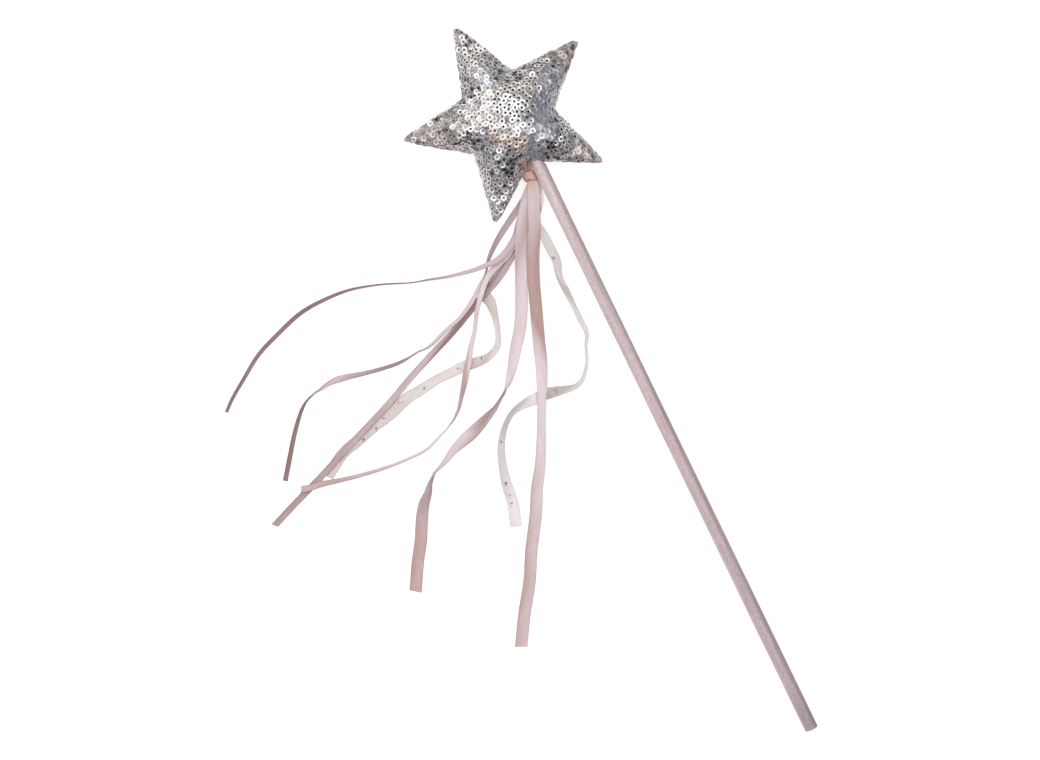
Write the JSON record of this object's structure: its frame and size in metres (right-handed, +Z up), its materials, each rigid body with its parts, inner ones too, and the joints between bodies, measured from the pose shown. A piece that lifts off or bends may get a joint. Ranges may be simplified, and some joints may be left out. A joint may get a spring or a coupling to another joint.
{
  "type": "fairy star wand",
  "caption": "Child's fairy wand: stuffed sequinned star on a slim painted stick, with a bunch of satin and sheer ribbon tails tied below the star.",
  "frame": {"origin": "centre of the wand's box without its ribbon tails, on the table under it", "axes": "+Z up, away from the table and out of the star's front; +Y along the wand from the stick's butt to the star; +X to the right seen from above"},
  "size_m": [0.232, 0.3761, 0.0275],
  "materials": {
    "painted_wood": "dusty pink paint, satin",
    "sequin_cloth": "mesh cloth covered with silver sequins",
    "sequins": "silver foil rings",
    "stuffing": "polyester fibre",
    "thread": "sewing thread",
    "glue": "clear glue",
    "satin": "blush satin ribbon",
    "sheer": "sheer cream ribbon with small spots"
  },
  "bodies": {
    "wand": {"stick": "painted_wood", "glue_plug": "glue", "star_stuffing": "stuffing", "star_back": "sequin_cloth", "star_front": "sequin_cloth", "seam_stitches": "thread", "closing_stitches": "thread", "ribbon_root": "satin", "ribbon_knot": "satin"},
    "ribbon_tails": {"wide_tail_long": "satin", "wide_tail_twisted": "satin", "narrow_tail_far": "satin", "narrow_tail_swept": "satin", "narrow_tail_straight": "satin", "narrow_tail_crossing": "satin", "sheer_tail_inner": "sheer", "sheer_tail_outer": "sheer"}
  },
  "joints": [
    {"name": "ribbon_sweep", "type": "hinge", "parent": "wand", "child": "ribbon_tails", "pos_m": [-0.001, 0.109, 0.009], "axis": [0, 0, 1], "range_deg": [-20, 10]}
  ]
}
